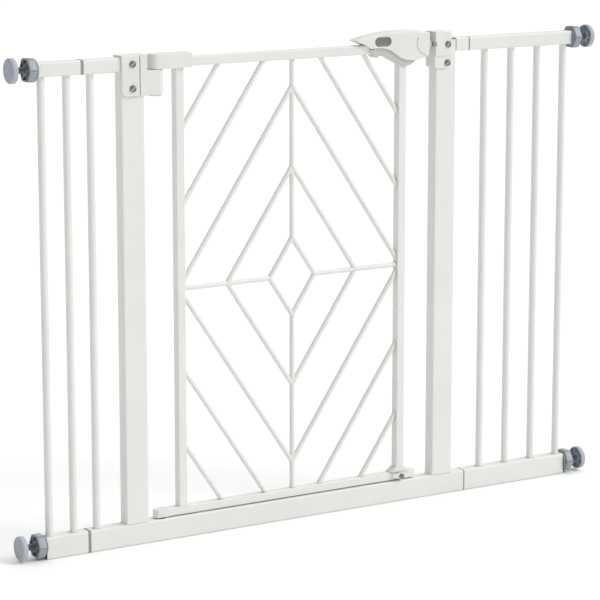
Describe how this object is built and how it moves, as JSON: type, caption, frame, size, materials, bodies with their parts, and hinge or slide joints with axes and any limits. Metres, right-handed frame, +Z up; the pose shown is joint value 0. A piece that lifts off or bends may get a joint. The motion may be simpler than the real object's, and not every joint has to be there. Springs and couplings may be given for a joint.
{
  "type": "pet gate",
  "caption": "Pressure-fit steel pet gate with a self-closing walk-through door, lift-up latch handle, slanted rod pattern and screw-out wall pads.",
  "frame": {"origin": "on the floor, halfway between the outer faces of the wall pads and in the middle of the frame's depth", "axes": "+X along the gate from the hinge side to the latch side, +Y to the back, +Z up"},
  "size_m": [1.065, 0.038, 0.7765],
  "materials": {
    "white_coat": "white powder coat, fine orange peel, satin",
    "white_plastic": "moulded white plastic, fine grain",
    "pad_grey": "soft grey moulded plastic, fine ridges",
    "nut_grey": "grey moulded plastic",
    "joiner_grey": "grey moulded plastic",
    "inner_plastic": "dark moulded plastic",
    "spindle_steel": "zinc plated steel, threaded",
    "button_grey": "dark grey moulded plastic",
    "screw_steel": "plated steel, slotted",
    "pin_steel": "turned steel",
    "spring_steel": "spring wire"
  },
  "bodies": {
    "frame": {"bottom_hinge_bush": "inner_plastic", "bottom_rail": "white_coat", "bracket_screws": "screw_steel", "closer_spring": "spring_steel", "end_plugs_bottom": "inner_plastic", "end_plugs_top": "inner_plastic", "hinge_bracket": "white_plastic", "hinge_post": "white_coat", "latch_post": "white_coat", "left_connector_bottom": "joiner_grey", "left_connector_top": "joiner_grey", "left_extension_bars": "white_coat", "left_extension_bottom": "white_coat", "left_extension_top": "white_coat", "left_top_stub": "white_coat", "right_connector_bottom": "joiner_grey", "right_connector_top": "joiner_grey", "right_extension_bars": "white_coat", "right_extension_bottom": "white_coat", "right_extension_top": "white_coat", "right_top_stub": "white_coat", "strike_bracket": "white_plastic", "stub_bar": "white_coat"},
    "door": {"bolt_spring": "spring_steel", "bottom_hinge_pin": "pin_steel", "centre_rods": "white_coat", "cross_rods": "white_coat", "door_bottom_rail": "white_coat", "door_top_rail": "white_coat", "hinge_housing": "white_plastic", "hinge_stile": "white_coat", "latch_base": "white_plastic", "latch_stile": "white_coat", "rail_cap_left": "white_plastic", "rail_cap_right": "white_plastic", "rods_lower_left": "white_coat", "rods_lower_right": "white_coat", "rods_upper_left": "white_coat", "rods_upper_right": "white_coat", "stile_shoe": "white_plastic", "stop_screw": "screw_steel", "top_hinge_pin": "pin_steel"},
    "lever": {"latch_lever": "white_plastic", "button_spring": "spring_steel"},
    "button": {"latch_button": "button_grey"},
    "bolt": {"latch_bolt": "white_coat"},
    "tab": {"stop_tab": "white_plastic"},
    "nut_top_left": {"hand_nut_top_left": "nut_grey"},
    "foot_top_left": {"spindle_top_left": "spindle_steel", "wall_pad_top_left": "pad_grey"},
    "nut_top_right": {"hand_nut_top_right": "nut_grey"},
    "foot_top_right": {"spindle_top_right": "spindle_steel", "wall_pad_top_right": "pad_grey"},
    "nut_bottom_left": {"hand_nut_bottom_left": "nut_grey"},
    "foot_bottom_left": {"spindle_bottom_left": "spindle_steel", "wall_pad_bottom_left": "pad_grey"},
    "nut_bottom_right": {"hand_nut_bottom_right": "nut_grey"},
    "foot_bottom_right": {"spindle_bottom_right": "spindle_steel", "wall_pad_bottom_right": "pad_grey"}
  },
  "joints": [
    {"name": "door_swing", "type": "hinge", "parent": "frame", "child": "door", "pos_m": [-0.288, 0, 0.39], "axis": [0, 0, -1], "range_deg": [-90, 90], "stiffness_Nm_per_rad": 0.5},
    {"name": "lever_lift", "type": "hinge", "parent": "door", "child": "lever", "pos_m": [0.196, 0, 0.752], "axis": [0, 1, 0], "range_deg": [0, 15], "stiffness_Nm_per_rad": 0.3, "springref_deg": -17.19},
    {"name": "button_press", "type": "slide", "parent": "lever", "child": "button", "axis": [0, 1, 0], "range_m": [0, 0.0022], "stiffness_N_per_m": 600, "springref_m": -0.002, "deforming": ["button_spring"]},
    {"name": "bolt_slide", "type": "slide", "parent": "door", "child": "bolt", "axis": [1, 0, 0], "range_m": [-0.0051, 0], "deforming": ["bolt_spring"]},
    {"name": "stop_tab_turn", "type": "hinge", "parent": "door", "child": "tab", "pos_m": [0.155, -0.012, 0.043], "axis": [0, -1, 0], "range_deg": [0, 90]},
    {"name": "nut_top_left_turn", "type": "hinge", "parent": "frame", "child": "nut_top_left", "pos_m": [-0.4975, 0, 0.749], "axis": [-1, 0, 0], "range_deg": [-3605, 3605]},
    {"name": "foot_top_left_slide", "type": "slide", "parent": "frame", "child": "foot_top_left", "axis": [-1, 0, 0], "range_m": [-0.015, 0.015]},
    {"name": "nut_top_right_turn", "type": "hinge", "parent": "frame", "child": "nut_top_right", "pos_m": [0.4975, 0, 0.749], "axis": [1, 0, 0], "range_deg": [-3605, 3605]},
    {"name": "foot_top_right_slide", "type": "slide", "parent": "frame", "child": "foot_top_right", "axis": [1, 0, 0], "range_m": [-0.015, 0.015]},
    {"name": "nut_bottom_left_turn", "type": "hinge", "parent": "frame", "child": "nut_bottom_left", "pos_m": [-0.4975, 0, 0.0215], "axis": [-1, 0, 0], "range_deg": [-3605, 3605]},
    {"name": "foot_bottom_left_slide", "type": "slide", "parent": "frame", "child": "foot_bottom_left", "axis": [-1, 0, 0], "range_m": [-0.015, 0.015]},
    {"name": "nut_bottom_right_turn", "type": "hinge", "parent": "frame", "child": "nut_bottom_right", "pos_m": [0.4975, 0, 0.0215], "axis": [1, 0, 0], "range_deg": [-3605, 3605]},
    {"name": "foot_bottom_right_slide", "type": "slide", "parent": "frame", "child": "foot_bottom_right", "axis": [1, 0, 0], "range_m": [-0.015, 0.015]}
  ],
  "couplings": [
    {"joint": "bolt_slide", "follows": "lever_lift", "m_per_rad": -0.019099},
    {"joint": "nut_top_left_turn", "follows": "foot_top_left_slide", "rad_per_m": 4188.8},
    {"joint": "nut_top_right_turn", "follows": "foot_top_right_slide", "rad_per_m": 4188.8},
    {"joint": "nut_bottom_left_turn", "follows": "foot_bottom_left_slide", "rad_per_m": 4188.8},
    {"joint": "nut_bottom_right_turn", "follows": "foot_bottom_right_slide", "rad_per_m": 4188.8}
  ]
}
